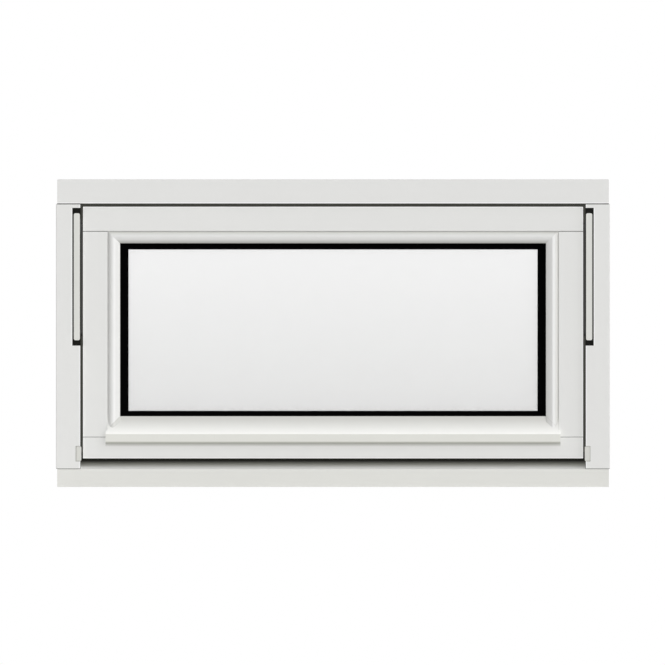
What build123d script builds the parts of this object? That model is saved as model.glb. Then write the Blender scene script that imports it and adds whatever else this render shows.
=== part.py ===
"""Fully reversible top swing pivot window in painted timber, glazed from the outside, shown closed.

Millimetres. X runs across the window, to the right when it is seen from outside.
Y runs through the wall, with the outside at minus Y. Z is up.
The origin is on the underside of the sill, midway across the width and the frame depth.
"""

import os

from build123d import *

os.makedirs("parts", exist_ok=True)

# Frame of head, sill and two jambs
frame_width = 990.0
frame_height = 550.0
frame_depth = 115.0
head_face = 44.0
jamb_face = 44.0
jamb_stand_out = 2.0
sill_front_height = 32.0
sill_rise = 15.0
sill_nose_round = 3.0
drip_groove_width = 6.0
drip_groove_depth = 4.0
drip_groove_setback = 12.0
edge_ease = 1.2
joint_line_width = 0.6
joint_line_depth = 3.0

# Running gaps between frame and sash
side_gap = 4.0
head_gap = 5.0
sill_gap = 4.0
seal_gap = 4.0
stop_overlap = 12.0

# Sash of two rails and two stiles
sash_setback = 12.0
sash_depth = 62.0
top_rail_face = 44.0
bottom_rail_face = 38.0
stile_face = 44.0
inner_lip_depth = 16.5
inner_lip_round = 4.0
bottom_lip_height = 36.0

# Moulded timber beads round the top and sides of the glass
side_bead_width = 22.5
top_bead_width = 21.5
bead_clearance = 0.5
bead_proud = 4.0
bead_outer_round = 8.0
bead_crest_width = 10.2
bead_crest_round = 9.0
bead_glass_edge_depth = 14.8
bead_lip_round = 1.5

# Sloping drip bead along the bottom of the glass
drip_bead_height = 37.5
drip_bead_projection = 11.0
drip_bead_top_thickness = 11.0
drip_nose_height = 15.5
drip_nose_overhang = 10.0
drip_nose_thickness = 3.5
drip_nose_step = 5.0
drip_nose_round = 1.6
drip_nose_end_lap = 3.5
drip_slope_hollow = 1.3
drip_end_upright = 4.0
drip_end_chamfer = 4.6

# Sealed double glazing and its rubber
glass_edge_clearance = 3.0
pane_thickness = 4.0
cavity_width = 16.0
spacer_width = 17.0
gasket_thickness = 3.0
gasket_edge_clearance = 1.0
side_gasket_band = 15.0
top_gasket_band = 11.0
bottom_gasket_band = 9.5
inner_gasket_setback = 1.0
setting_block_height = 5.0
setting_block_length = 60.0
setting_block_offset = 250.0
weather_seal_width = 8.0
weather_seal_edge = 2.0

# Reversing hinge, one on each side
slot_width = 14.0
slot_depth = 34.0
slot_length = 245.5
slot_head_distance = 7.5
slot_corner = 3.5
rail_width = 11.0
rail_length = 227.0
rail_recess = 1.5
rail_side_gap = 1.3
rail_corner = 3.0
track_width = 12.0
track_depth = 5.0
track_top_solid = 10.0
track_foot_solid = 30.0
track_setback = 23.5
shoe_length = 26.0
shoe_corner = 2.0
shoe_clearance = 0.3
arm_thickness = 2.0
arm_width = 14.0
arm_boss_diameter = 12.0
arm_foot_distance = 14.0

# Guide block near the foot of each jamb
guide_width = 8.2
guide_length = 26.0
guide_depth = 24.0
guide_recess = 0.5
guide_foot_z = 46.5
guide_gap_reach = 1.2
guide_corner = 2.0
guide_chamfer = 0.6
guide_clearance = 0.3

# Holes for the screws that hold the frame in the wall
fixing_hole_diameter = 6.0
fixing_hole_spacing = 330.0
fixing_hole_height = 110.0
fixing_hole_y = 0.0

# Inside handle on the bottom rail
handle_plate_length = 120.0
handle_plate_height = 28.0
handle_plate_thickness = 8.0
handle_plate_ease = 2.0
handle_neck_diameter = 15.0
handle_finger_gap = 20.0
handle_lever_length = 118.0
handle_lever_height = 19.0
handle_lever_tip_height = 13.0
handle_lever_thickness = 11.0
handle_lever_ease = 3.5
handle_above_upstand = 33.0

# Two points nearer than this count as one
same_place = 0.01

# Places worked out from the sizes above
outside_y = -frame_depth / 2
inside_y = frame_depth / 2
jamb_inner_x = frame_width / 2 - jamb_face
head_underside_z = frame_height - head_face
head_length = frame_width - 2 * jamb_stand_out
slope_back_z = sill_front_height + sill_rise

sash_half_width = jamb_inner_x - side_gap
sash_top_z = head_underside_z - head_gap
sash_bottom_z = slope_back_z + sill_gap
sash_face_y = outside_y + sash_setback
sash_back_y = sash_face_y + sash_depth
stop_y = sash_back_y + seal_gap
stop_inner_x = sash_half_width - stop_overlap
head_stop_z = sash_top_z - stop_overlap
upstand_top_z = sash_bottom_z + stop_overlap

rebate_half_width = sash_half_width - stile_face
rebate_top_z = sash_top_z - top_rail_face
rebate_bottom_z = sash_bottom_z + bottom_rail_face
lip_y = sash_back_y - inner_lip_depth
lip_half_width = rebate_half_width - side_bead_width
lip_top_z = rebate_top_z - top_bead_width
lip_bottom_z = rebate_bottom_z + bottom_lip_height

inner_pane_y = lip_y - gasket_thickness - pane_thickness
cavity_y = inner_pane_y - cavity_width
outer_pane_y = cavity_y - pane_thickness
bead_back_y = outer_pane_y - gasket_thickness
bead_crest_y = sash_face_y - bead_proud
drip_bead_top_z = rebate_bottom_z + drip_bead_height
nose_y = sash_face_y - drip_bead_projection
nose_bottom_z = rebate_bottom_z - drip_nose_overhang
nose_top_z = nose_bottom_z + drip_nose_height
glass_half_width = rebate_half_width - glass_edge_clearance
glass_top_z = rebate_top_z - glass_edge_clearance
glass_bottom_z = rebate_bottom_z + setting_block_height
drip_half_length = rebate_half_width + drip_nose_end_lap

slot_top_z = head_underside_z - slot_head_distance
slot_mid_z = slot_top_z - slot_length / 2
rail_inner_x = jamb_inner_x + rail_side_gap
rail_mid_x = rail_inner_x + rail_width / 2
rail_foot_z = slot_mid_z - rail_length / 2
rail_top_z = slot_mid_z + rail_length / 2
track_y = outside_y + track_setback
track_foot_z = rail_foot_z + track_foot_solid
track_top_z = rail_top_z - track_top_solid
track_back_x = rail_inner_x + track_depth
arm_inner_x = sash_half_width + (side_gap - arm_thickness) / 2
arm_outer_x = arm_inner_x + arm_thickness
arm_foot_z = rail_foot_z + arm_foot_distance
arm_top_z = track_top_z - shoe_clearance - shoe_length / 2
guide_mid_z = guide_foot_z + guide_length / 2
handle_z = upstand_top_z + handle_above_upstand
plate_front_y = sash_back_y + handle_plate_thickness
lever_y = plate_front_y + handle_finger_gap
lever_tip_x = handle_lever_length - (handle_lever_height + handle_lever_tip_height) / 2
handle_neck_length = handle_finger_gap + handle_lever_thickness / 2


def save(piece, name):
    """Label a finished piece and write its file."""
    piece.label = name
    export_step(piece, f"parts/{name}.step")


def save_pair(piece, name):
    """Write a finished piece of the right side, and its mirror image on the left."""
    save(piece, f"{name}_right")
    with BuildPart() as left_piece:
        add(piece)
        mirror(about=Plane.YZ, mode=Mode.REPLACE)
    save(left_piece.part, f"{name}_left")


def facing_out(y):
    """Plane at depth y whose sketches are seen from outside, with X to the right and Z up."""
    return Plane.XZ.offset(-y)


def corners_at(section, x, y):
    """Corners of a sketch, in its own plane, that lie at one point."""
    return section.vertices().filter_by(
        lambda corner: abs(corner.X - x) < same_place and abs(corner.Y - y) < same_place
    )


def head_section(eased):
    """Head of the frame in section, with the inner stop that the sash closes on."""
    with BuildSketch(Plane.YZ) as section:
        with BuildLine():
            Polyline(
                (outside_y, head_underside_z),
                (stop_y, head_underside_z),
                (stop_y, head_stop_z),
                (inside_y, head_stop_z),
                (inside_y, frame_height),
                (outside_y, frame_height),
                close=True,
            )
        make_face()
        if eased:
            fillet(section.vertices().group_by(Axis.X)[0], edge_ease)
            fillet(corners_at(section, inside_y, head_stop_z), edge_ease)
    return section.sketch


def sill_section(eased):
    """Sill in section, with its weathered slope, the inner upstand and a drip groove below."""
    with BuildSketch(Plane.YZ) as section:
        with BuildLine():
            Polyline(
                (outside_y, 0),
                (inside_y, 0),
                (inside_y, upstand_top_z),
                (stop_y, upstand_top_z),
                (stop_y, slope_back_z),
                (outside_y, sill_front_height),
                close=True,
            )
        make_face()
        if eased:
            fillet(corners_at(section, outside_y, sill_front_height), sill_nose_round)
            fillet(corners_at(section, inside_y, upstand_top_z), edge_ease)
            with Locations((outside_y + drip_groove_setback, 0)):
                Rectangle(drip_groove_width, 2 * drip_groove_depth, mode=Mode.SUBTRACT)
    return section.sketch


def rail_section(outer_z, rebate_z, lip_z, eased):
    """Sash rail in section, with the rebate for the glass and the lip inside it."""
    with BuildSketch(Plane.YZ) as section:
        with BuildLine():
            Polyline(
                (sash_face_y, outer_z),
                (sash_back_y, outer_z),
                (sash_back_y, lip_z),
                (lip_y, lip_z),
                (lip_y, rebate_z),
                (sash_face_y, rebate_z),
                close=True,
            )
        make_face()
        if eased:
            fillet(section.vertices().group_by(Axis.X)[0], edge_ease)
            fillet(corners_at(section, sash_back_y, lip_z), inner_lip_round)
    return section.sketch


def top_rail_section(eased):
    return rail_section(sash_top_z, rebate_top_z, lip_top_z, eased)


def bottom_rail_section(eased):
    return rail_section(sash_bottom_z, rebate_bottom_z, lip_bottom_z, eased)


def bead_section(plane, width):
    """Moulded bead in section: X of the plane runs towards the glass and Y towards the outside."""
    sash_edge = (bead_clearance, -bead_crest_y)
    crest_edge = (bead_clearance + bead_crest_width, -bead_crest_y)
    glass_edge = (width, bead_glass_edge_depth - bead_back_y)
    with BuildSketch(plane) as section:
        with BuildLine():
            Polyline(
                (bead_clearance, -bead_back_y),
                sash_edge,
                crest_edge,
                glass_edge,
                (width, -bead_back_y),
                close=True,
            )
        make_face()
        fillet(corners_at(section, *crest_edge), bead_crest_round)
        fillet(corners_at(section, *sash_edge), bead_outer_round)
        fillet(corners_at(section, *glass_edge), bead_lip_round)
    return section.sketch


def drip_bead_section():
    """Drip bead in section: a hollowed slope down to a nose with a drip edge under it."""
    slope_top = (bead_back_y - drip_bead_top_thickness, drip_bead_top_z)
    slope_foot = (nose_y, nose_top_z)
    step_z = nose_bottom_z + drip_nose_step
    with BuildSketch(Plane.YZ) as section:
        with BuildLine():
            SagittaArc(slope_top, slope_foot, drip_slope_hollow)
            Polyline(
                slope_foot,
                (nose_y, nose_bottom_z),
                (nose_y + drip_nose_thickness, nose_bottom_z),
                (nose_y + drip_nose_thickness, step_z),
                (sash_face_y, step_z),
                (sash_face_y, rebate_bottom_z),
                (bead_back_y, rebate_bottom_z),
                (bead_back_y, drip_bead_top_z),
                slope_top,
            )
        make_face()
        fillet(corners_at(section, *slope_foot), drip_nose_round)
    return section.sketch


def joint_lines(y, x_low, x_high, heights):
    """Narrow cuts, seen from outside, that mark where an upright meets the members across it."""
    with BuildSketch(facing_out(y)) as section:
        for height in heights:
            with Locations(((x_low + x_high) / 2, height)):
                Rectangle(x_high - x_low, joint_line_width)
    return section.sketch


def ring_section(y, outer, inner):
    """Flat ring at depth y, where outer and inner are each a half width, a bottom and a top."""
    with BuildSketch(facing_out(y)) as section:
        for (half_width, bottom, top), mode in ((outer, Mode.ADD), (inner, Mode.SUBTRACT)):
            with Locations((0, (bottom + top) / 2)):
                Rectangle(2 * half_width, top - bottom, mode=mode)
    return section.sketch


# Head and sill of the frame, which run the full width between the outer edges of the jambs
with BuildPart() as frame_head:
    extrude(head_section(eased=True), amount=head_length / 2, both=True)
save(frame_head.part, "frame_head")

with BuildPart() as frame_sill:
    extrude(sill_section(eased=True), amount=head_length / 2, both=True)
save(frame_sill.part, "frame_sill")

# Jambs, scribed to the sections of head and sill, with a slot for the hinge,
# a pocket for the guide block and two holes for the frame screws
with BuildPart() as frame_jamb:
    with BuildSketch() as jamb_outline:
        with BuildLine():
            Polyline(
                (jamb_inner_x, outside_y),
                (jamb_inner_x, stop_y),
                (stop_inner_x, stop_y),
                (stop_inner_x, inside_y),
                (frame_width / 2, inside_y),
                (frame_width / 2, outside_y),
                close=True,
            )
        make_face()
        fillet(jamb_outline.vertices().group_by(Axis.Y)[0], edge_ease)
    extrude(amount=frame_height)
    extrude(head_section(eased=False), amount=frame_width, both=True, mode=Mode.SUBTRACT)
    extrude(sill_section(eased=False), amount=frame_width, both=True, mode=Mode.SUBTRACT)
    jamb_joints = (head_underside_z - joint_line_width / 2, sill_front_height + joint_line_width / 2)
    extrude(
        joint_lines(outside_y, jamb_inner_x, frame_width / 2, jamb_joints),
        amount=-joint_line_depth,
        mode=Mode.SUBTRACT,
    )
    with BuildSketch(facing_out(outside_y)):
        with Locations((jamb_inner_x, slot_mid_z)):
            RectangleRounded(2 * slot_width, slot_length, slot_corner)
    extrude(amount=-slot_depth, mode=Mode.SUBTRACT)
    with BuildSketch(facing_out(outside_y)):
        with Locations((jamb_inner_x, guide_mid_z)):
            RectangleRounded(
                2 * (guide_width + guide_clearance), guide_length + 2 * guide_clearance, guide_corner
            )
    extrude(amount=-guide_depth, mode=Mode.SUBTRACT)
    with BuildSketch(Plane.YZ.offset(frame_width / 2)):
        with Locations((fixing_hole_y, fixing_hole_height)):
            Circle(fixing_hole_diameter / 2)
        with Locations((fixing_hole_y, fixing_hole_height + fixing_hole_spacing)):
            Circle(fixing_hole_diameter / 2)
    extrude(amount=-jamb_face, mode=Mode.SUBTRACT)
save_pair(frame_jamb.part, "frame_jamb")

# Sash rails, which run the full width of the sash
with BuildPart() as sash_top_rail:
    extrude(top_rail_section(eased=True), amount=sash_half_width, both=True)
    fillet(sash_top_rail.edges().filter_by(Axis.Z).group_by(Axis.Y)[0], edge_ease)
save(sash_top_rail.part, "sash_top_rail")

with BuildPart() as sash_bottom_rail:
    extrude(bottom_rail_section(eased=True), amount=sash_half_width, both=True)
    fillet(sash_bottom_rail.edges().filter_by(Axis.Z).group_by(Axis.Y)[0], edge_ease)
save(sash_bottom_rail.part, "sash_bottom_rail")

# Sash stiles, scribed to the sections of the two rails
with BuildPart() as sash_stile:
    with BuildSketch(Plane.XY.offset(sash_bottom_z)) as stile_outline:
        with BuildLine():
            Polyline(
                (sash_half_width, sash_face_y),
                (sash_half_width, sash_back_y),
                (lip_half_width, sash_back_y),
                (lip_half_width, lip_y),
                (rebate_half_width, lip_y),
                (rebate_half_width, sash_face_y),
                close=True,
            )
        make_face()
        fillet(stile_outline.vertices().group_by(Axis.Y)[0], edge_ease)
        fillet(corners_at(stile_outline, lip_half_width, sash_back_y), inner_lip_round)
    extrude(amount=sash_top_z - sash_bottom_z)
    extrude(top_rail_section(eased=False), amount=frame_width, both=True, mode=Mode.SUBTRACT)
    extrude(bottom_rail_section(eased=False), amount=frame_width, both=True, mode=Mode.SUBTRACT)
    stile_joints = (rebate_top_z - joint_line_width / 2, rebate_bottom_z + joint_line_width / 2)
    extrude(
        joint_lines(sash_face_y, rebate_half_width, sash_half_width, stile_joints),
        amount=-joint_line_depth,
        mode=Mode.SUBTRACT,
    )
save_pair(sash_stile.part, "sash_stile")

# Top bead, mitred at both ends
with BuildPart() as bead_top:
    across = Plane(origin=(0, 0, rebate_top_z), x_dir=(0, 0, -1), z_dir=(-1, 0, 0))
    extrude(bead_section(across, top_bead_width), amount=rebate_half_width, both=True)
    with BuildSketch(facing_out(bead_crest_y)):
        with BuildLine():
            Polyline(
                (rebate_half_width, rebate_top_z),
                (lip_half_width, lip_top_z),
                (rebate_half_width, lip_top_z),
                close=True,
            )
        make_face()
        mirror(about=Plane.YZ)
    extrude(amount=bead_crest_y - bead_back_y, mode=Mode.SUBTRACT)
save(bead_top.part, "bead_top")

# Side beads, mitred to the top bead and scribed over the slope of the drip bead
with BuildPart() as bead_side:
    upright = Plane(origin=(rebate_half_width, 0, rebate_bottom_z), x_dir=(-1, 0, 0), z_dir=(0, 0, 1))
    extrude(bead_section(upright, side_bead_width), amount=rebate_top_z - rebate_bottom_z)
    with BuildSketch(facing_out(bead_crest_y)):
        with BuildLine():
            Polyline(
                (rebate_half_width, rebate_top_z),
                (lip_half_width, rebate_top_z),
                (lip_half_width, lip_top_z),
                close=True,
            )
        make_face()
    extrude(amount=bead_crest_y - bead_back_y, mode=Mode.SUBTRACT)
    extrude(drip_bead_section(), amount=frame_width, both=True, mode=Mode.SUBTRACT)
save_pair(bead_side.part, "bead_side")

# Drip bead, whose nose laps over the stiles at each end with its corner cut back
with BuildPart() as bead_bottom:
    extrude(drip_bead_section(), amount=drip_half_length, both=True)
    with BuildSketch():
        with Locations((drip_half_length, (sash_face_y + bead_back_y) / 2)):
            Rectangle(2 * drip_nose_end_lap, bead_back_y - sash_face_y)
        mirror(about=Plane.YZ)
    extrude(amount=frame_height, mode=Mode.SUBTRACT)
    with BuildSketch(facing_out(nose_y)):
        with BuildLine():
            Polyline(
                (drip_half_length, nose_top_z + drip_end_upright),
                (rebate_half_width, nose_top_z + drip_end_upright + drip_end_chamfer),
                (rebate_half_width, drip_bead_top_z),
                (drip_half_length, drip_bead_top_z),
                close=True,
            )
        make_face()
        mirror(about=Plane.YZ)
    extrude(amount=nose_y - sash_face_y, mode=Mode.SUBTRACT)
save(bead_bottom.part, "bead_bottom")

# Two panes with a spacer frame between them, on two setting blocks
glass_edge = (glass_half_width, glass_bottom_z, glass_top_z)
for pane_name, pane_y in (("glass_outer_pane", outer_pane_y), ("glass_inner_pane", inner_pane_y)):
    with BuildPart() as pane:
        with BuildSketch(facing_out(pane_y)):
            with Locations((0, (glass_bottom_z + glass_top_z) / 2)):
                Rectangle(2 * glass_half_width, glass_top_z - glass_bottom_z)
        extrude(amount=-pane_thickness)
    save(pane.part, pane_name)

with BuildPart() as glass_spacer:
    spacer_inner = (
        glass_half_width - spacer_width,
        glass_bottom_z + spacer_width,
        glass_top_z - spacer_width,
    )
    extrude(ring_section(cavity_y, glass_edge, spacer_inner), amount=-cavity_width)
save(glass_spacer.part, "glass_spacer")

with BuildPart() as setting_block:
    with BuildSketch(Plane.XY.offset(rebate_bottom_z)):
        with Locations((setting_block_offset, (outer_pane_y + inner_pane_y + pane_thickness) / 2)):
            Rectangle(setting_block_length, inner_pane_y + pane_thickness - outer_pane_y)
    extrude(amount=setting_block_height)
save_pair(setting_block.part, "setting_block")

# Rubber: a flat glazing gasket on each side of the glass, and the seal that the sash closes on
with BuildPart() as glazing_gasket_outer:
    gasket_outer_edge = (
        rebate_half_width - gasket_edge_clearance,
        rebate_bottom_z + gasket_edge_clearance,
        rebate_top_z - gasket_edge_clearance,
    )
    gasket_band_edge = (
        lip_half_width - side_gasket_band,
        drip_bead_top_z + bottom_gasket_band,
        lip_top_z - top_gasket_band,
    )
    extrude(ring_section(bead_back_y, gasket_outer_edge, gasket_band_edge), amount=-gasket_thickness)
save(glazing_gasket_outer.part, "glazing_gasket_outer")

with BuildPart() as glazing_gasket_inner:
    inner_gasket_edge = (
        lip_half_width + inner_gasket_setback,
        lip_bottom_z - inner_gasket_setback,
        lip_top_z + inner_gasket_setback,
    )
    inner_gasket_y = inner_pane_y + pane_thickness
    extrude(ring_section(inner_gasket_y, glass_edge, inner_gasket_edge), amount=-gasket_thickness)
save(glazing_gasket_inner.part, "glazing_gasket_inner")

with BuildPart() as weather_seal:
    seal_inner_edge = (
        stop_inner_x + weather_seal_edge,
        upstand_top_z - weather_seal_edge,
        head_stop_z + weather_seal_edge,
    )
    seal_outer_edge = (
        seal_inner_edge[0] + weather_seal_width,
        seal_inner_edge[1] - weather_seal_width,
        seal_inner_edge[2] + weather_seal_width,
    )
    extrude(ring_section(sash_back_y, seal_outer_edge, seal_inner_edge), amount=-seal_gap)
save(weather_seal.part, "weather_seal")

# Hinge rail, a bar let into the slot of the jamb, with the track that the shoe runs in
with BuildPart() as hinge_rail:
    with BuildSketch(facing_out(outside_y + rail_recess)):
        with Locations((rail_mid_x, slot_mid_z)):
            RectangleRounded(rail_width, rail_length, rail_corner)
    extrude(amount=rail_recess - slot_depth)
    with BuildSketch(Plane.YZ.offset(rail_inner_x)):
        with Locations((track_y, (track_foot_z + track_top_z) / 2)):
            Rectangle(track_width, track_top_z - track_foot_z)
    extrude(amount=track_depth, mode=Mode.SUBTRACT)
save_pair(hinge_rail.part, "hinge_rail")

# Hinge shoe, which slides in the track and carries the top of the arm
with BuildPart() as hinge_shoe:
    with BuildSketch(Plane.YZ.offset(arm_outer_x)):
        with Locations((track_y, arm_top_z)):
            RectangleRounded(track_width - 2 * shoe_clearance, shoe_length, shoe_corner)
    extrude(amount=track_back_x - arm_outer_x)
save_pair(hinge_shoe.part, "hinge_shoe")

# Hinge arm, a flat bar in the gap beside the sash, with a boss on the sash and one on the rail
with BuildPart() as hinge_arm:
    with BuildSketch(Plane.YZ.offset(arm_outer_x)):
        with Locations((track_y, (arm_foot_z + arm_top_z) / 2)):
            SlotCenterToCenter(arm_top_z - arm_foot_z, arm_width, rotation=90)
    extrude(amount=-arm_thickness)
    with BuildSketch(Plane.YZ.offset(sash_half_width)):
        with Locations((track_y, arm_top_z)):
            Circle(arm_boss_diameter / 2)
    extrude(amount=arm_inner_x - sash_half_width)
    with BuildSketch(Plane.YZ.offset(arm_outer_x)):
        with Locations((track_y, arm_foot_z)):
            Circle(arm_boss_diameter / 2)
    extrude(amount=rail_inner_x - arm_outer_x)
save_pair(hinge_arm.part, "hinge_arm")

# Guide block, let into the inner edge of the jamb near its foot
with BuildPart() as guide_block:
    with BuildSketch(facing_out(outside_y + guide_recess)):
        with Locations((jamb_inner_x + (guide_width - guide_gap_reach) / 2, guide_mid_z)):
            RectangleRounded(guide_width + guide_gap_reach, guide_length, guide_corner)
    extrude(amount=guide_recess - guide_depth)
    chamfer(guide_block.edges().group_by(Axis.Y)[0], guide_chamfer)
save_pair(guide_block.part, "guide_block")

# Inside handle: a plate on the bottom rail and a lever that turns on it
with BuildPart() as handle_plate:
    with BuildSketch(facing_out(sash_back_y)):
        with Locations((0, handle_z)):
            SlotOverall(handle_plate_length, handle_plate_height)
    extrude(amount=-handle_plate_thickness)
    fillet(handle_plate.edges().group_by(Axis.Y)[-1], handle_plate_ease)
save(handle_plate.part, "handle_plate")

with BuildPart() as handle_lever:
    with BuildSketch(facing_out(lever_y)):
        with Locations((0, handle_z)):
            Circle(handle_lever_height / 2)
        with Locations((lever_tip_x, handle_z)):
            Circle(handle_lever_tip_height / 2)
        make_hull()
    extrude(amount=-handle_lever_thickness)
    fillet(handle_lever.edges().filter_by(Axis.Y, reverse=True), handle_lever_ease)
    with BuildSketch(facing_out(plate_front_y)):
        with Locations((0, handle_z)):
            Circle(handle_neck_diameter / 2)
    extrude(amount=-handle_neck_length)
save(handle_lever.part, "handle_lever")
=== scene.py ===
import math

import bmesh
import bpy
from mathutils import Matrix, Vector


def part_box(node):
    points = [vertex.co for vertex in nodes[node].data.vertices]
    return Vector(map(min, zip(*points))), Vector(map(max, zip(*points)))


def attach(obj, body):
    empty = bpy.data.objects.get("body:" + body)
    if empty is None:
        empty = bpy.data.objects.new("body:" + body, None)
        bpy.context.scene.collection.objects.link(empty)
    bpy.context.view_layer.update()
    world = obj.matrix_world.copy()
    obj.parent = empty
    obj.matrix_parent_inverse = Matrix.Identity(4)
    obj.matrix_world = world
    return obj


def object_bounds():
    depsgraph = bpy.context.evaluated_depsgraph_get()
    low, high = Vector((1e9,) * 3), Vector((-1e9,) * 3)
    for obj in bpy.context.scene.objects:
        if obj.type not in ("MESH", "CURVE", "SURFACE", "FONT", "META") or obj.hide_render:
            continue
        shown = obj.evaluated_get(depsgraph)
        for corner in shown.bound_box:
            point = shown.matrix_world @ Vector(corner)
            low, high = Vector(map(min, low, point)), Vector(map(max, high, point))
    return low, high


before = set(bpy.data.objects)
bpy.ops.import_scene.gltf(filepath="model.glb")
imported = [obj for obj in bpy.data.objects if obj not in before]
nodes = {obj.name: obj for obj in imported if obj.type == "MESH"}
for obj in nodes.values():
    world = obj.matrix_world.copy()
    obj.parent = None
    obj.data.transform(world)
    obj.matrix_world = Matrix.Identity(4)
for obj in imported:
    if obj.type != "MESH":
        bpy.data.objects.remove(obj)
cad_low, cad_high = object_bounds()


# Frame head
# The top member of the frame, planed softwood that is primed and sprayed with white paint.
# It runs over both jambs and is screwed down into them.
class Value:
    """A number or colour on its way through a node tree. Sums on it add Math nodes."""

    def __init__(self, tree, socket):
        self.tree = tree
        self.socket = socket

    def math(self, operation, first, second):
        return self.tree.node("ShaderNodeMath", {"operation": operation}, {0: first, 1: second})

    def larger(self, other):
        return self.math("MAXIMUM", self, other)

    def __add__(self, other):
        return self.math("ADD", self, other)

    def __sub__(self, other):
        return self.math("SUBTRACT", self, other)

    def __rsub__(self, other):
        return self.math("SUBTRACT", other, self)

    def __mul__(self, other):
        return self.math("MULTIPLY", self, other)

    def __gt__(self, other):
        return self.math("GREATER_THAN", self, other)

    def __lt__(self, other):
        return self.math("LESS_THAN", self, other)

    def __abs__(self):
        return self.math("ABSOLUTE", self, 0)

    __radd__ = __add__
    __rmul__ = __mul__


class Tree:
    """The node tree of a finish or of the sky."""

    def __init__(self, owner):
        owner.use_nodes = True
        self.own = owner.node_tree

    def node(self, kind, settings=None, sockets=None, output=0):
        made = self.own.nodes.new(kind)
        for setting, value in (settings or {}).items():
            setattr(made, setting, value)
        for socket, value in (sockets or {}).items():
            self.feed(made.inputs[socket], value)
        return Value(self, made.outputs[output])

    def feed(self, socket, value):
        if isinstance(value, Value):
            self.own.links.new(value.socket, socket)
        else:
            socket.default_value = value


class Finish(Tree):
    """A procedural material, with its place on the object as x, y and z in metres."""

    def __init__(self, name):
        self.material = bpy.data.materials.new(name)
        super().__init__(self.material)
        self.shader = self.own.nodes["Principled BSDF"]
        self.place = self.node("ShaderNodeTexCoord", output="Object")
        self.x, self.y, self.z = (
            self.node("ShaderNodeSeparateXYZ", sockets={0: self.place}, output=axis) for axis in "XYZ"
        )

    def set(self, **sockets):
        """Feeds the shader's sockets: base_color=..., roughness=... and so on."""
        for name, value in sockets.items():
            title = {"ior_level": "Specular IOR Level"}.get(name, name.replace("_", " ").title())
            self.feed(self.shader.inputs[title], value)

    def noise(self, scale, detail=3.0, roughness=0.5):
        """Noise from 0 to 1 with a number of features a metre on each axis."""
        stretched = self.node(
            "ShaderNodeVectorMath", {"operation": "MULTIPLY"}, {0: self.place, 1: scale}, "Vector"
        )
        sockets = {"Vector": stretched, "Scale": 1.0, "Detail": detail, "Roughness": roughness}
        return self.node("ShaderNodeTexNoise", sockets=sockets, output="Fac")

    def fade(self, coordinate, start, end):
        """Runs from 0 at the start to 1 at the end of a stretch, and stays level beyond."""
        sockets = {"Value": coordinate, "From Min": start, "From Max": end}
        return self.node("ShaderNodeMapRange", sockets=sockets, output="Result")

    def near(self, coordinate, place, reach):
        """1 at a place, running out to 0 at a reach from it on both sides."""
        return self.fade(abs(coordinate - place), reach, 0.0)

    def colour(self, share, low, high, blend="MIX"):
        """A colour between two others, or the first one multiplied by the second."""
        ends = {6: low if isinstance(low, Value) else (*low, 1.0), 7: (*high, 1.0)}
        settings = {"data_type": "RGBA", "blend_type": blend}
        return self.node("ShaderNodeMix", settings, {0: share, **ends}, 2)

    def so_far(self):
        """The colour that already feeds the shader."""
        return Value(self, self.shader.inputs["Base Color"].links[0].from_socket)

    def shade(self, share, tone):
        """Multiplies the colour by a tone, where the share is 1."""
        self.set(base_color=self.colour(share, self.so_far(), tone, "MULTIPLY"))

    def tint(self, share, tone):
        """Lays a colour over the one so far, where the share is 1."""
        self.set(base_color=self.colour(share, self.so_far(), tone))

    def bump(self, height, distance, strength):
        sockets = {"Height": height, "Distance": distance, "Strength": strength}
        self.set(normal=self.node("ShaderNodeBump", sockets=sockets, output="Normal"))


def scaled(colour, factor):
    return tuple(channel * factor for channel in colour)


def olive(level):
    """A neutral shade of white paint, which turns a little olive as it gets darker."""
    blue_loss = 0.14
    return (level, level, level * (1.0 - blue_loss * (1.0 - level)))


paint_tone = (0.762, 0.762, 0.747)
tone_drift = 0.018


def white_paint(name, along):
    """Sprayed paint on planed softwood, whose grain runs along an axis and telegraphs a little."""
    long_way = 4.0
    across = 130.0
    finish = Finish(name)
    grain_scale = tuple(long_way if axis == along else across for axis in "xyz")
    grain = finish.noise(grain_scale, detail=4.0, roughness=0.6)
    cloud = finish.noise((9.0, 9.0, 9.0), detail=2.0)
    peel = finish.noise((900.0, 900.0, 900.0), detail=1.0)
    share = grain * 0.5 + cloud * 0.5
    finish.set(
        base_color=finish.colour(
            share, scaled(paint_tone, 1.0 - tone_drift), scaled(paint_tone, 1.0 + tone_drift)
        ),
        roughness=0.55 + (cloud - 0.5) * 0.12 + (grain - 0.5) * 0.10,
        ior_level=0.18,
    )
    finish.bump(grain * 0.6 + peel * 0.4, 0.00025, 0.5)
    return finish


def dress(node, finish):
    """Gives a CAD node its finish."""
    nodes[node].data.materials.clear()
    nodes[node].data.materials.append(finish.material)


# Painted highlight, a lighter band of paint along the arrises of frame and sash.
arris_highlight = (1.20, 1.20, 1.22)
arris_inset = 0.0010
arris_reach = 0.0015
arris_shadow = 0.0007
arris_depth = 0.0013
# Near black for the dark joint lines, also used as painted shade along the arrises by the gap.
joint_and_arris_shade = olive(0.04)
# Painted shade deep in the rebate behind the closed sash.
rebate_shade = olive(0.15)
rebate_shade_from = 0.006
rebate_shade_full = 0.016
stop_skin = 0.0003
jamb_edge = 0.451
head_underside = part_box("frame_jamb_right")[1].z
sash_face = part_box("sash_top_rail")[0].y
stop_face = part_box("weather_seal")[1].y
frame_face = cad_low.y


def behind_sash(finish):
    """1 in the depth of the rebate that the closed sash hides, where shade is painted."""
    shade_share = finish.fade(finish.y, sash_face + rebate_shade_from, sash_face + rebate_shade_full)
    return shade_share * (finish.y < stop_face + stop_skin)


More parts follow.
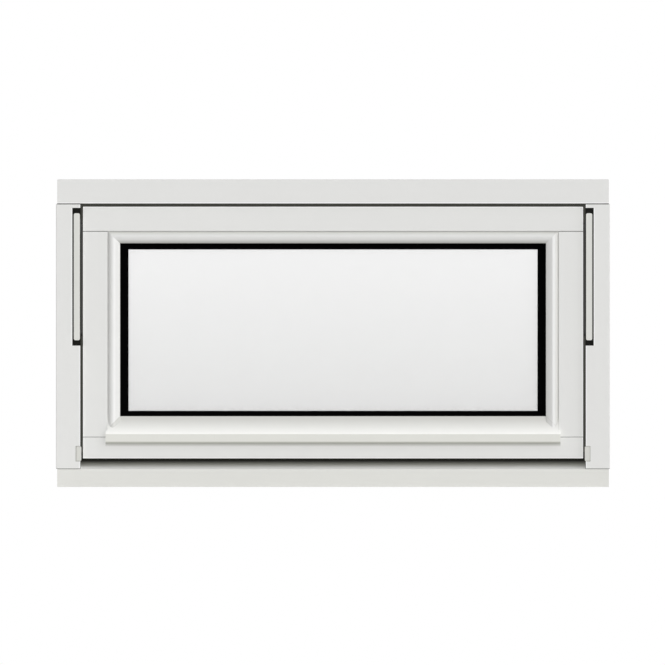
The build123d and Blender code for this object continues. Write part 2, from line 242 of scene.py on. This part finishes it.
head_paint = white_paint("head_paint", "x")
head_arris = head_underside + arris_shadow
at_front = head_paint.y < frame_face + arris_depth
at_underside = head_paint.z < head_arris
over_opening = at_underside * (abs(head_paint.x) < jamb_edge)
# Painted highlight along the head's lower arris.
along_arris = head_paint.near(head_paint.z, head_arris + arris_inset, arris_reach)
head_paint.shade(along_arris * at_front, arris_highlight)
# Dark joint line over the jambs, and painted shade along the head's arris over the opening.
head_paint.shade(at_underside * at_front, joint_and_arris_shade)
# Painted shade deep in the rebate over the opening.
head_paint.shade(over_opening * behind_sash(head_paint), rebate_shade)
dress("frame_head", head_paint)


# Frame sill
# The bottom member, screwed up into the jambs and sloped so that water runs off to the outside.
# Same softwood and paint as the head. Its front face is painted a little darker as shade, and
# painted shade deepens where the slope runs in under the sash, up to the upstand.
# Painted shade: the front face a little darker, and the slope darker in under the sash.
sill_front_shade = (0.965, 0.965, 0.94)
sill_front_top = 0.032
sill_slope_shade_from = 0.0345
sill_slope_shade_to = 0.0402
sill_slope_shade = olive(0.54)
slope_dark_from = 0.0405
slope_dark_to = 0.0466
slope_dark_shade = olive(0.12)
upstand_foot = 0.0468
upstand_shade = olive(0.4)
sill_paint = white_paint("sill_paint", "x")
on_front = (sill_paint.z < sill_front_top) * (sill_paint.y < frame_face + arris_depth)
# Painted shade on the front face.
sill_paint.shade(on_front, sill_front_shade)
under_sash = (sill_paint.y < stop_face + stop_skin) * (abs(sill_paint.x) < jamb_edge)
# Painted shade on the slope, deepening in under the sash and on the upstand.
sill_slope_shading = sill_paint.fade(sill_paint.z, sill_slope_shade_from, sill_slope_shade_to)
sill_paint.shade(sill_slope_shading * under_sash, sill_slope_shade)
dark = sill_paint.fade(sill_paint.z, slope_dark_from, slope_dark_to)
sill_paint.shade(dark * under_sash, slope_dark_shade)
sill_paint.shade((sill_paint.z > upstand_foot) * under_sash, upstand_shade)
dress("frame_sill", sill_paint)


# Frame jambs
# The two painted softwood uprights, screwed between head and sill. Each has a slot routed
# for the hinge, painted near black inside as shade, and a pocket for the guide block with a
# painted shadow round it. A fine line shows at each joint, and painted highlights and painted
# shade run along the arrises by the gap.
jamb_low, jamb_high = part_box("frame_jamb_right")
head_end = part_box("frame_head")[1].x
rail_low, rail_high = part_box("hinge_rail_right")
block_low, block_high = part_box("guide_block_right")
slot_play = 0.0021
slot_rim = 0.0005
slot_end_play = 0.0096
# Near black painted inside the slot as shade.
slot_painted_shade = (0.012, 0.012, 0.010)
block_rim = 0.0008
# Painted shadow round the guide block's pocket.
pocket_painted_shadow = olive(0.45)
head_joint_line = 0.0009
sill_joint_line = 0.0006
jamb_paint = white_paint("jamb_paint", "z")
across = abs(jamb_paint.x)
slot_wall = rail_high.x + slot_play + slot_rim
above_slot_foot = jamb_paint.z > rail_low.z - slot_end_play
below_slot_top = jamb_paint.z < rail_high.z + slot_end_play
by_slot = above_slot_foot * below_slot_top
on_outside = jamb_paint.y < frame_face + arris_depth
jamb_arris = jamb_edge + arris_shadow
# Painted highlight along the jamb's arris beside the gap.
jamb_paint.shade(jamb_paint.near(across, jamb_arris + arris_inset, arris_reach) * on_outside, arris_highlight)
# Painted shade along the jamb's arris beside the gap.
jamb_paint.shade((across < jamb_arris) * on_outside, joint_and_arris_shade)
# Painted shade deep in the rebate beside the sash.
jamb_paint.shade((across < jamb_arris) * behind_sash(jamb_paint), rebate_shade)
# Painted highlight along the rim of the hinge slot.
along_slot = jamb_paint.near(across, slot_wall + arris_inset, arris_reach)
jamb_paint.shade(along_slot * by_slot * on_outside, arris_highlight)
# Near black painted inside the slot as shade.
in_slot = (across < slot_wall) * by_slot * (jamb_paint.y < rail_high.y + slot_play)
jamb_paint.tint(in_slot, slot_painted_shade)
# Painted shadow round the guide block.
by_block = (jamb_paint.z > block_low.z - block_rim) * (jamb_paint.z < block_high.z + block_rim)
round_block = (across < block_high.x + block_rim) * by_block * (jamb_paint.y < block_high.y)
jamb_paint.shade(round_block, pocket_painted_shadow)
under_head = (jamb_paint.z > jamb_high.z - head_joint_line) * (across < head_end)
jamb_paint.shade(under_head, joint_and_arris_shade)
jamb_paint.shade((jamb_paint.z < jamb_low.z + sill_joint_line) * on_outside, joint_and_arris_shade)
for side in ("left", "right"):
    dress(f"frame_jamb_{side}", jamb_paint)


# Sash rails
# Top and bottom members of the sash, rebated for the glass, in painted softwood.
# The stiles are tenoned into them. A shadow under the nose of the drip bead is painted on
# the bottom one, and painted highlights run along the outer arrises.
sash_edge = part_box("sash_top_rail")[1].x
sash_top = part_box("sash_top_rail")[1].z
sash_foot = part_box("sash_bottom_rail")[0].z
rail_paint = white_paint("sash_rail_paint", "x")
at_front = rail_paint.y < sash_face + arris_depth
# Painted highlights along the outer arrises of the rails.
for coordinate, place in (
    (abs(rail_paint.x), sash_edge - arris_inset),
    (rail_paint.z, sash_top - arris_inset),
    (rail_paint.z, sash_foot + arris_inset),
):
    rail_paint.shade(rail_paint.near(coordinate, place, arris_reach) * at_front, arris_highlight)
drip_low, drip_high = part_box("bead_bottom")
# Painted shadow under the drip bead's nose, on the bottom rail.
nose_shadow_reach = 0.007
nose_shadow = olive(0.5)
under_nose = rail_paint.fade(rail_paint.z, drip_low.z - nose_shadow_reach, drip_low.z)
by_nose = (abs(rail_paint.x) < drip_high.x) * (rail_paint.z < drip_low.z + arris_reach)
rail_paint.shade(under_nose * by_nose * (rail_paint.y < drip_high.y), nose_shadow)
for node in ("sash_top_rail", "sash_bottom_rail"):
    dress(node, rail_paint)


# Sash stiles
# The two uprights of the sash, in the same painted softwood as the rails.
# They are tenoned and glued into the rails, with a fine line at each joint.
stile_low, stile_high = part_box("sash_stile_right")
stile_joint_line = 0.0007
stile_paint = white_paint("sash_stile_paint", "z")
at_front = stile_paint.y < sash_face + arris_depth
# Painted highlight along the outer arris of each stile.
along_arris = stile_paint.near(abs(stile_paint.x), sash_edge - arris_inset, arris_reach)
stile_paint.shade(along_arris * at_front, arris_highlight)
stile_paint.shade(stile_paint.z > stile_high.z - stile_joint_line, joint_and_arris_shade)
stile_paint.shade(stile_paint.z < stile_low.z + stile_joint_line, joint_and_arris_shade)
for side in ("left", "right"):
    dress(f"sash_stile_{side}", stile_paint)


# Glazing beads
# Moulded softwood strips pinned round the glass from outside, mitred at the top corners.
# Shade is painted at their foot and beside the glass, most of all on the top and right ones,
# the side ones have a painted highlight along their crest, and the left one has painted shade
# below its mitre with the drip bead.
# Painted shade at the foot of the beads and beside the glass.
bead_foot_width = 0.0075
bead_painted_shade = olive(0.76)
top_bead_painted_shade = olive(0.57)
top_low, top_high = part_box("bead_top")
top_bead_paint = white_paint("bead_top_paint", "x")
# Painted shade at the top bead's foot and, stronger, beside the glass.
top_bead_paint.shade(
    top_bead_paint.fade(top_bead_paint.z, top_high.z - bead_foot_width, top_high.z), bead_painted_shade
)
top_bead_paint.shade(
    top_bead_paint.fade(top_bead_paint.z, top_low.z + bead_foot_width, top_low.z), top_bead_painted_shade
)
dress("bead_top", top_bead_paint)

bead_low, bead_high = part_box("bead_side_right")
glass_side_shade_share = 0.5
crest_reach = 0.0035
crest_blue = 1.01
scribe_painted_shade = olive(0.80)
mitre_shade = olive(0.86)
mitre_reach = 0.0012
mitre_place = drip_high.z + bead_low.x
for side, shade_share, crest_inset, crest_highlight in (("left", 0.1, 0.0113, 1.09), ("right", 1.0, 0.0086, 1.17)):
    side_bead_paint = white_paint(f"bead_{side}_paint", "z")
    across = abs(side_bead_paint.x)
    foot = side_bead_paint.fade(across, bead_high.x - bead_foot_width, bead_high.x)
    by_glass = side_bead_paint.fade(across, bead_low.x + bead_foot_width, bead_low.x)
    crest = side_bead_paint.near(across, bead_high.x - crest_inset, crest_reach)
    mitre = side_bead_paint.z + across
    # Painted shade at the foot and beside the glass, stronger on the right bead, and below the mitre on
    # the left bead.
    side_bead_paint.shade(foot * shade_share, bead_painted_shade)
    side_bead_paint.shade(by_glass * (shade_share * glass_side_shade_share), bead_painted_shade)
    # Painted highlight along the crest, stronger on the right bead.
    side_bead_paint.shade(crest, (crest_highlight, crest_highlight, crest_highlight * crest_blue))
    side_bead_paint.shade((mitre < mitre_place) * (1.0 - shade_share), scribe_painted_shade)
    side_bead_paint.shade(side_bead_paint.near(mitre, mitre_place, mitre_reach), mitre_shade)
    dress(f"bead_side_{side}", side_bead_paint)


# Drip bead
# The sloping strip along the foot of the glass that throws rain clear of the bottom rail,
# in painted softwood, pinned from outside like the other beads. Its slope has a painted
# highlight towards the nose and painted shade against the glass, and the nose front and its
# lower round are painted a little darker as shade.
nose_height = 0.0155
# Painted shade on the nose front and its lower round, a painted highlight on the slope near the nose,
# and painted shade on the slope by the glass.
nose_front_shade = (0.77, 0.77, 0.745)
nose_round = 0.003
nose_round_shade = olive(0.55)
drip_slope_highlight = (1.27, 1.27, 1.26)
drip_slope_highlight_reach = 0.026
drip_slope_shade = olive(0.78)
drip_slope_shade_from = 0.002
nose_top = drip_low.z + nose_height
drip_paint = white_paint("drip_bead_paint", "x")
# Painted shade by the glass, painted highlight towards the nose, and painted shade on the nose front and
# its lower round.
drip_paint.shade(drip_paint.fade(drip_paint.z, nose_top + drip_slope_shade_from, drip_high.z), drip_slope_shade)
drip_paint.shade(drip_paint.fade(drip_paint.z, nose_top + drip_slope_highlight_reach, nose_top), drip_slope_highlight)
drip_paint.shade(drip_paint.z < nose_top, nose_front_shade)
drip_paint.shade(
    drip_paint.fade(drip_paint.z, drip_low.z + nose_round, drip_low.z), nose_round_shade
)
dress("bead_bottom", drip_paint)


# Glass
# Two panes of clear float glass, sealed round a spacer and held by the beads.
# They look pale grey against a white room. Painted light makes them lighter and clearer
# towards the top, and a painted shadow blackens a thin rim beside the gaskets.
clear_half_width = 0.3649
clear_low = 0.1366
clear_high = 0.4239
# Black painted at the rim beside the gaskets as shadow.
rim_shadow_black = (0.002, 0.002, 0.002)
# Painted light: the panes are lighter and clearer towards the top.
glass_low_tone = (0.61, 0.61, 0.60)
glass_high_tone = (0.70, 0.70, 0.70)
glass_top_lightening = 0.12


def float_glass(name, cover):
    """Clear glass that covers what is behind it by a share, painted lighter and clearer to the top as
    light.
    """
    finish = Finish(name)
    low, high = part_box("glass_outer_pane")
    height = finish.fade(finish.z, low.z, high.z)
    haze = finish.noise((3.0, 3.0, 3.0), detail=1.0)
    share = height + (haze - 0.5) * 0.06
    finish.set(
        base_color=finish.colour(share, glass_low_tone, glass_high_tone),
        alpha=cover - height * glass_top_lightening,
        roughness=0.03 + haze * 0.02,
    )
    # Painted shadow in black at the rim, beside the gaskets.
    at_rim = (abs(finish.x) > clear_half_width) + (finish.z < clear_low) + (finish.z > clear_high)
    finish.tint(at_rim, rim_shadow_black)
    return finish


dress("glass_outer_pane", float_glass("outer_glass", 0.28))
dress("glass_inner_pane", float_glass("inner_glass", 0.12))


# Glazing rubber
# Extruded black gaskets pressed in on both sides of the glass, a softer seal that the sash
# closes on, and the black spacer that keeps the panes apart.
def dull_moulding(name, tone):
    """Rubber or plastic with no shine, in a speckled grey or black."""
    finish = Finish(name)
    speck = finish.noise((1500.0, 1500.0, 1500.0), detail=2.0)
    grey = (tone, tone, tone)
    finish.set(
        base_color=finish.colour(speck, scaled(grey, 0.7), scaled(grey, 1.3)),
        roughness=0.85 + speck * 0.1,
        ior_level=0.0,
    )
    finish.bump(speck, 0.0001, 0.4)
    return finish


gasket_rubber = dull_moulding("gasket_rubber", 0.0015)
dress("glazing_gasket_outer", gasket_rubber)
dress("glazing_gasket_inner", gasket_rubber)
dress("weather_seal", dull_moulding("seal_rubber", 0.006))
dress("glass_spacer", dull_moulding("spacer_black", 0.008))


# Setting blocks
# Two packers of hard grey plastic, cut from strip and laid in the rebate
# of the bottom rail for the glass to stand on.
block_plastic = dull_moulding("setting_block_plastic", 0.2)
for side in ("left", "right"):
    dress(f"setting_block_{side}", block_plastic)


# Reversing hinge
# On each side a painted aluminium bar let into the slot, with the track for a plastic shoe,
# and a steel arm pivoted on it, coloured near black as painted shade where it shows in the gap.
def fine_grained(name, tone, metallic=0.0):
    """A smooth surface with a fine grain up and down, as a drawn bar has."""
    finish = Finish(name)
    drawn = finish.noise((700.0, 700.0, 12.0), detail=2.0)
    finish.set(
        base_color=finish.colour(drawn, scaled(tone, 0.97), scaled(tone, 1.03)),
        roughness=0.38 + drawn * 0.12,
        metallic=metallic,
    )
    finish.bump(drawn, 0.00005, 0.4)
    return finish


rail_coat = fine_grained("hinge_rail_coat", (0.70, 0.70, 0.665))
# Near black that stands in for the shade of the gap where the arm shows.
arm_steel_in_shade = fine_grained("hinge_arm_steel", (0.02, 0.02, 0.018))
shoe_plastic = fine_grained("hinge_shoe_plastic", (0.03, 0.03, 0.03))
for side in ("left", "right"):
    dress(f"hinge_rail_{side}", rail_coat)
    dress(f"hinge_arm_{side}", arm_steel_in_shade)
    dress(f"hinge_shoe_{side}", shoe_plastic)


# Guide blocks
# Pale moulded plastic blocks, let into a pocket near the foot of each jamb.
# They centre the sash as it shuts.
guide_plastic = fine_grained("guide_block_plastic", (0.645, 0.645, 0.605))
for side in ("left", "right"):
    dress(f"guide_block_{side}", guide_plastic)


# Handle
# A satin aluminium lever on a plate, inside on the bottom rail,
# with two raised countersunk screws in the plate, each with a cross recess.
handle_satin = fine_grained("handle_satin", (0.62, 0.62, 0.62), 0.6)
dress("handle_plate", handle_satin)
dress("handle_lever", handle_satin)

plate_low, plate_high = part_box("handle_plate")
screw_radius = 0.0038
screw_rise = 0.0011
screw_inset = 0.013
screw_steel = Finish("screw_steel")
swirl = screw_steel.noise((2500.0, 300.0, 2500.0), detail=2.0)
screw_steel.set(
    base_color=screw_steel.colour(swirl, (0.50, 0.50, 0.50), (0.62, 0.62, 0.62)),
    roughness=0.28 + swirl * 0.15,
    metallic=1.0,
)
screw_steel.bump(swirl, 0.00003, 0.3)


def cross_screw(name, place):
    """A domed screw head facing the inside, with a cross recess and a rim on the plate."""
    around = 40
    recess_depth = 0.0009
    arm_length = 0.0019
    arm_half_width = 0.00045
    recess_taper = 0.8
    radius_and_rise = ((1.0, 0.0), (0.96, 0.3), (0.82, 0.62), (0.62, 0.86))
    bm = bmesh.new()

    def point(across, up, out):
        return bm.verts.new(place + Vector((across, out, up)))

    def loop_edges(loop):
        return [bm.edges.get((loop[i], loop[i - 1])) or bm.edges.new((loop[i], loop[i - 1]))
                for i in range(len(loop))]

    circles = []
    for radius_share, rise_share in radius_and_rise:
        turns = [2.0 * math.pi * step / around for step in range(around)]
        radius = screw_radius * radius_share
        circles.append([point(radius * math.cos(turn), radius * math.sin(turn), screw_rise * rise_share)
                        for turn in turns])
    for outer, inner in zip(circles, circles[1:]):
        for step in range(around):
            bm.faces.new((outer[step - 1], outer[step], inner[step], inner[step - 1]))
    quarter = (
        (arm_length, arm_half_width),
        (arm_half_width, arm_half_width),
        (arm_half_width, arm_length),
    )
    outline = []
    for turn in range(4):
        cosine = round(math.cos(turn * math.pi / 2))
        sine = round(math.sin(turn * math.pi / 2))
        outline += [(a * cosine - b * sine, a * sine + b * cosine) for a, b in quarter]
    mouth = [point(a, b, screw_rise) for a, b in outline]
    bottom = [point(a * recess_taper, b * recess_taper, screw_rise - recess_depth) for a, b in outline]
    for step in range(len(outline)):
        bm.faces.new((mouth[step - 1], mouth[step], bottom[step], bottom[step - 1]))
    bm.faces.new(bottom)
    bmesh.ops.triangle_fill(bm, edges=loop_edges(circles[-1]) + loop_edges(mouth), use_beauty=True)
    bmesh.ops.recalc_face_normals(bm, faces=bm.faces)
    mesh = bpy.data.meshes.new(name)
    bm.to_mesh(mesh)
    bm.free()
    mesh.materials.append(screw_steel.material)
    screw = bpy.data.objects.new(name, mesh)
    bpy.context.scene.collection.objects.link(screw)
    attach(screw, "root")


plate_middle_z = (plate_low.z + plate_high.z) / 2
for side, screw_x in (("left", plate_low.x + screw_inset), ("right", plate_high.x - screw_inset)):
    cross_screw(f"handle_screw_{side}", Vector((screw_x, plate_high.y, plate_middle_z)))


# Floor
# Plain pale ground that the window stands on, seen edge on from the front.
# It takes the window's soft shadow in the other views.
floor_reach = 6.0
floor_mesh = bpy.data.meshes.new("floor")
signs = ((-1, -1), (1, -1), (1, 1), (-1, 1))
corners = [(floor_reach * x, floor_reach * y, 0) for x, y in signs]
floor_mesh.from_pydata(corners, [], [(0, 1, 2, 3)])
floor = bpy.data.objects.new("floor", floor_mesh)
bpy.context.scene.collection.objects.link(floor)
floor_finish = Finish("floor_paint")
floor_cloud = floor_finish.noise((2.0, 2.0, 2.0))
floor_finish.set(
    base_color=floor_finish.colour(floor_cloud, (0.80, 0.80, 0.80), (0.82, 0.82, 0.82)), roughness=0.9
)
floor_mesh.materials.append(floor_finish.material)


# Light
# A soft sky all round. In front, from the upper right, a soft lamp and a fill without shadows
# stand side by side, and a weaker lamp lights the inside from behind.
sky_level = 0.29
world = bpy.data.worlds.new("sky")
bpy.context.scene.world = world
sky = Tree(world)
seen, mirrored, through = (
    sky.node("ShaderNodeLightPath", output=f"Is {kind} Ray")
    for kind in ("Camera", "Glossy", "Transmission")
)
white_share = seen.larger(mirrored).larger(through)
background = world.node_tree.nodes["Background"]
sky.feed(background.inputs["Color"], (1.0, 1.0, 1.0, 1.0))
sky.feed(background.inputs["Strength"], white_share * (1.0 - sky_level) + sky_level)

lamp_spread = math.radians(60)
from_front_right = (0.55, -0.66, 0.42)
from_behind = (-0.45, 0.70, 0.35)
for name, direction, energy, casts_shadow in (
    ("key_lamp", from_front_right, 0.65, True),
    ("fill_lamp", from_front_right, 1.68, False),
    ("back_lamp", from_behind, 1.5, True),
):
    light = bpy.data.lights.new(name, "SUN")
    light.energy = energy
    light.angle = lamp_spread
    light.use_shadow = casts_shadow
    lamp = bpy.data.objects.new(name, light)
    lamp.rotation_euler = Vector(direction).to_track_quat("Z", "Y").to_euler()
    bpy.context.scene.collection.objects.link(lamp)


# Camera
# Straight in front of the outside face, with no perspective, as a drawn elevation.
# The square that it takes in leaves the frame a plain margin on each side.
view_width = 1.1884
view_centre_x = -0.0009
view_centre_z = 0.2761
view_distance = 3.0
camera_data = bpy.data.cameras.new("camera")
camera_data.type = "ORTHO"
camera_data.ortho_scale = view_width
camera = bpy.data.objects.new("camera", camera_data)
camera.location = (view_centre_x, -view_distance, view_centre_z)
camera.rotation_euler = (math.radians(90), 0, 0)
bpy.context.scene.collection.objects.link(camera)
bpy.context.scene.camera = camera
bpy.context.scene.view_settings.view_transform = "Standard"
